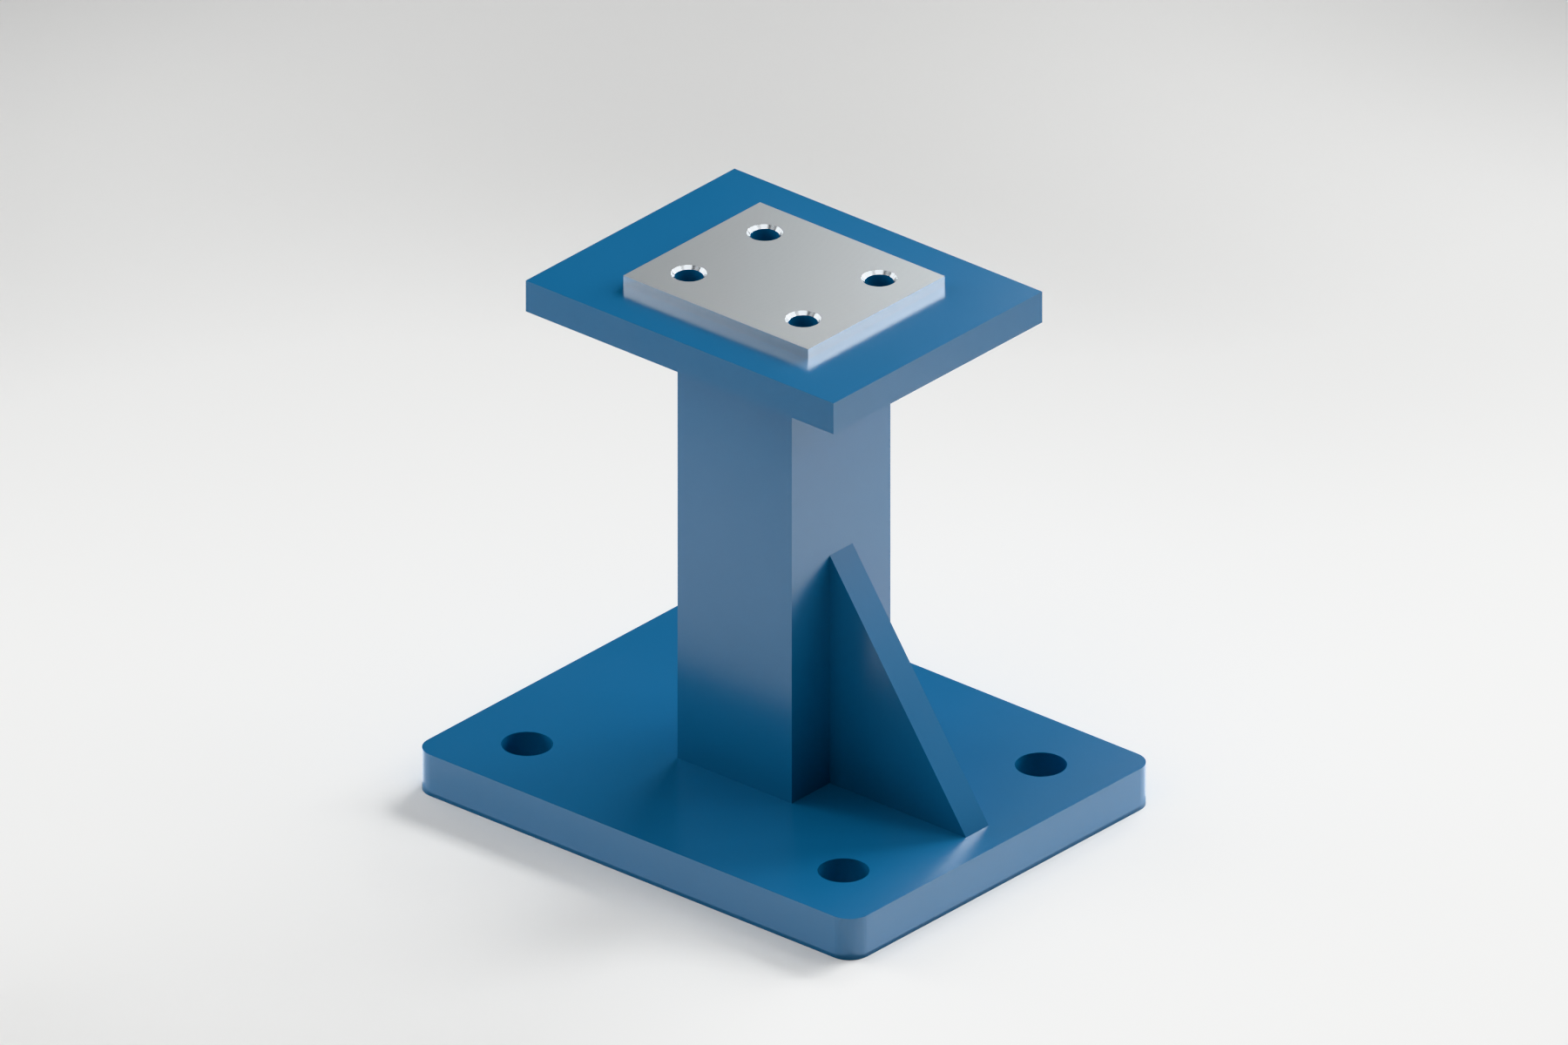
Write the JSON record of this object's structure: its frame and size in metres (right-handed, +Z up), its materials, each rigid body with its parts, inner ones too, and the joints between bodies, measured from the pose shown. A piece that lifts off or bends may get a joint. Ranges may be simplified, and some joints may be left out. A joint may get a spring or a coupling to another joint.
{
  "type": "welded steel support",
  "caption": "Blue painted steel column on a thick base plate with anchor holes, stiffened by a gusset, carrying a top plate with a drilled machined pad.",
  "frame": {"origin": "centre of the base plate's underside, which rests on the foundation", "axes": "+Z up through the column, +X along the base plate's long side towards the gusset, +Y along its short side"},
  "size_m": [0.5, 0.4, 0.505],
  "materials": {
    "blue_paint": "semi-gloss blue enamel over structural steel",
    "machined_steel": "bare, finely milled"
  },
  "bodies": {
    "root": {"base_plate": "blue_paint", "column": "blue_paint", "column_foot_weld": "blue_paint", "column_head_weld": "blue_paint", "gusset": "blue_paint", "gusset_welds": "blue_paint", "top_plate": "blue_paint", "mounting_pad": "machined_steel", "pad_weld": "machined_steel"}
  },
  "joints": []
}
